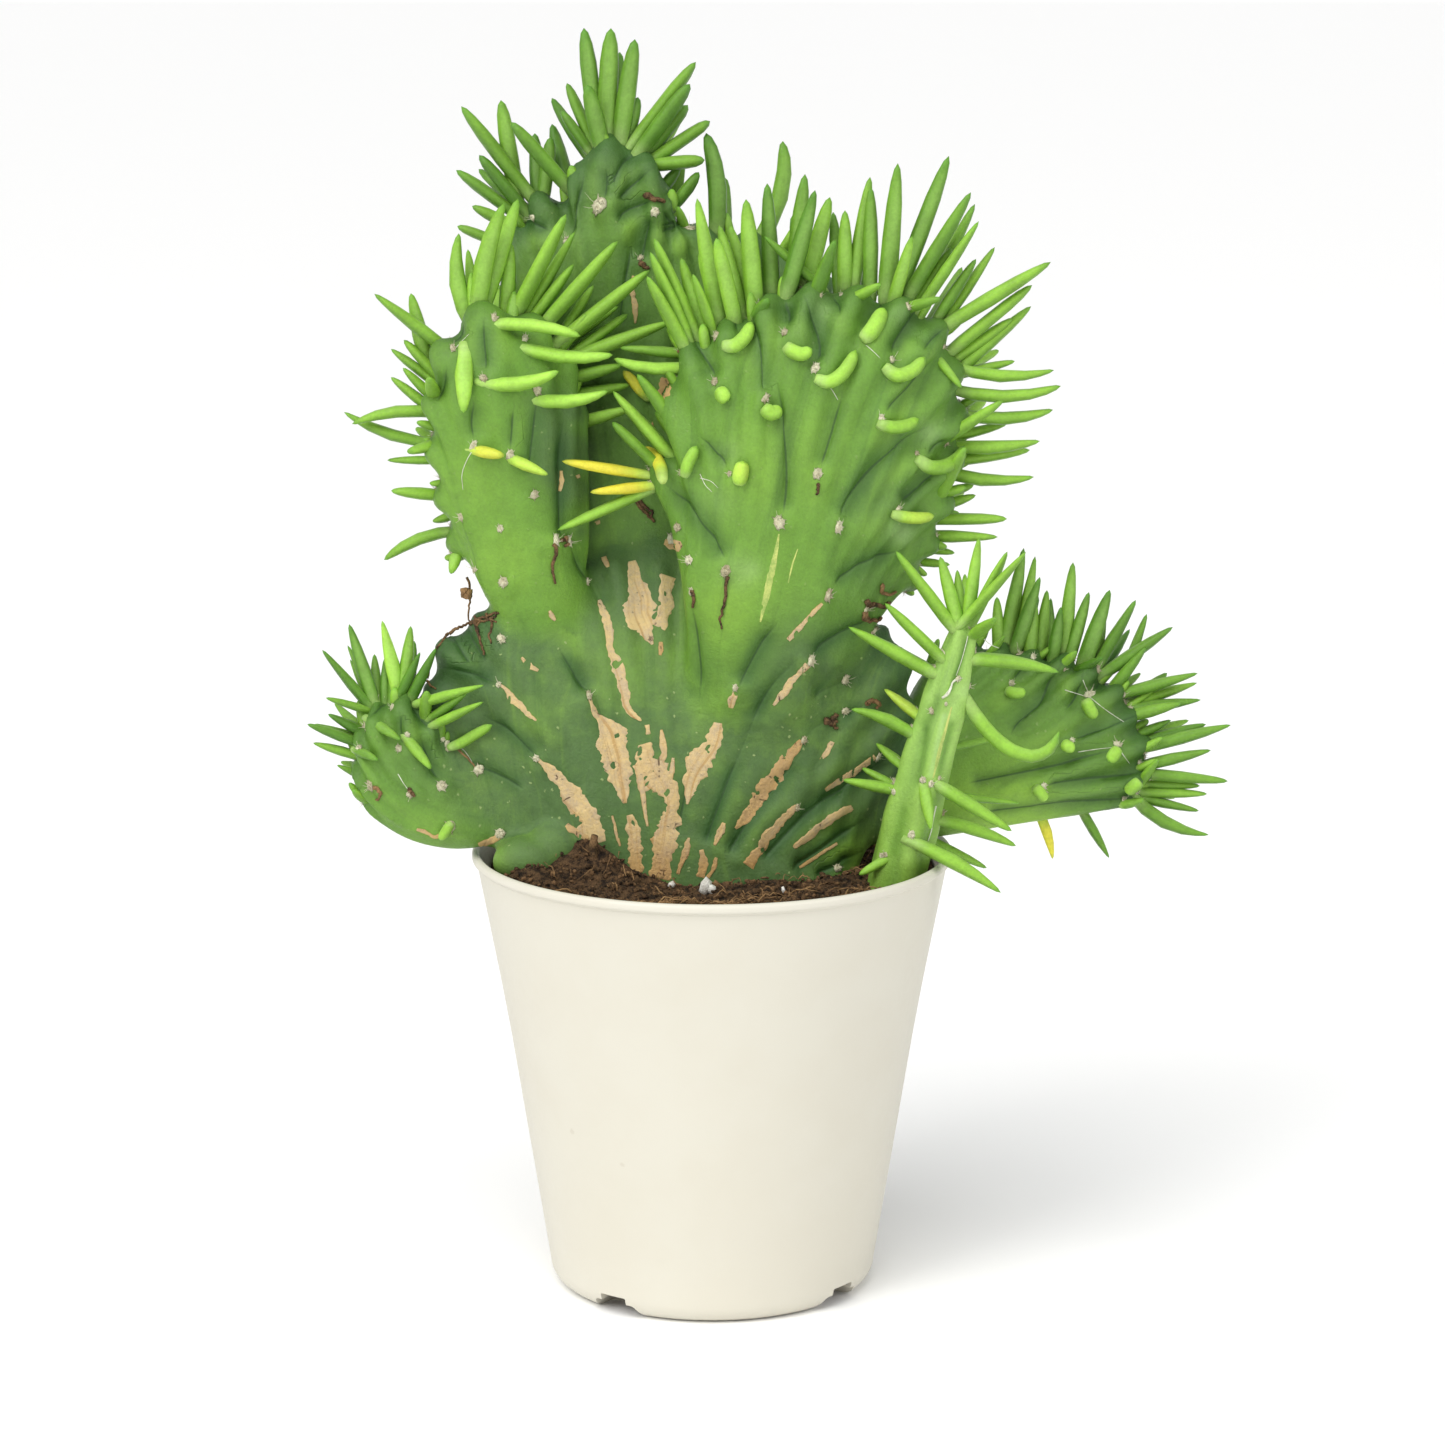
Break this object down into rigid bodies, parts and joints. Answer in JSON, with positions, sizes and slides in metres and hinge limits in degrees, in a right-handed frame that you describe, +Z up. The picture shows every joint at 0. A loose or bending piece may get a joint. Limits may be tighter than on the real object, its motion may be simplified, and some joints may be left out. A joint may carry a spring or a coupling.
{
  "type": "potted crested opuntia subulata",
  "caption": "Crested cactus of folded fan-shaped stems edged with fleshy finger-like leaves, rooted in potting mix in a tapered round plastic pot that stands on low feet.",
  "frame": {"origin": "middle of the flat underside of the pot, on the surface that it stands on", "axes": "+Z up along the pot's axis, +X to the right and +Y away from the viewer as the picture shows the plant"},
  "size_m": [0.209, 0.1092, 0.285],
  "materials": {
    "pot": "cream moulded plastic with a soft satin surface",
    "soil": "damp dark brown peat and bark crumbs with pale fibres",
    "crest": "waxy mid to deep green cactus skin with corky tan scars and lighter green leaves",
    "stem": "waxy light green cactus skin and leaves"
  },
  "bodies": {
    "root": {"pot": "pot", "soil": "soil", "crest_main": "crest", "crest_right": "crest", "crest_left": "crest", "crest_low_left": "crest", "crest_low_right": "crest", "stem_front": "stem"}
  },
  "joints": []
}
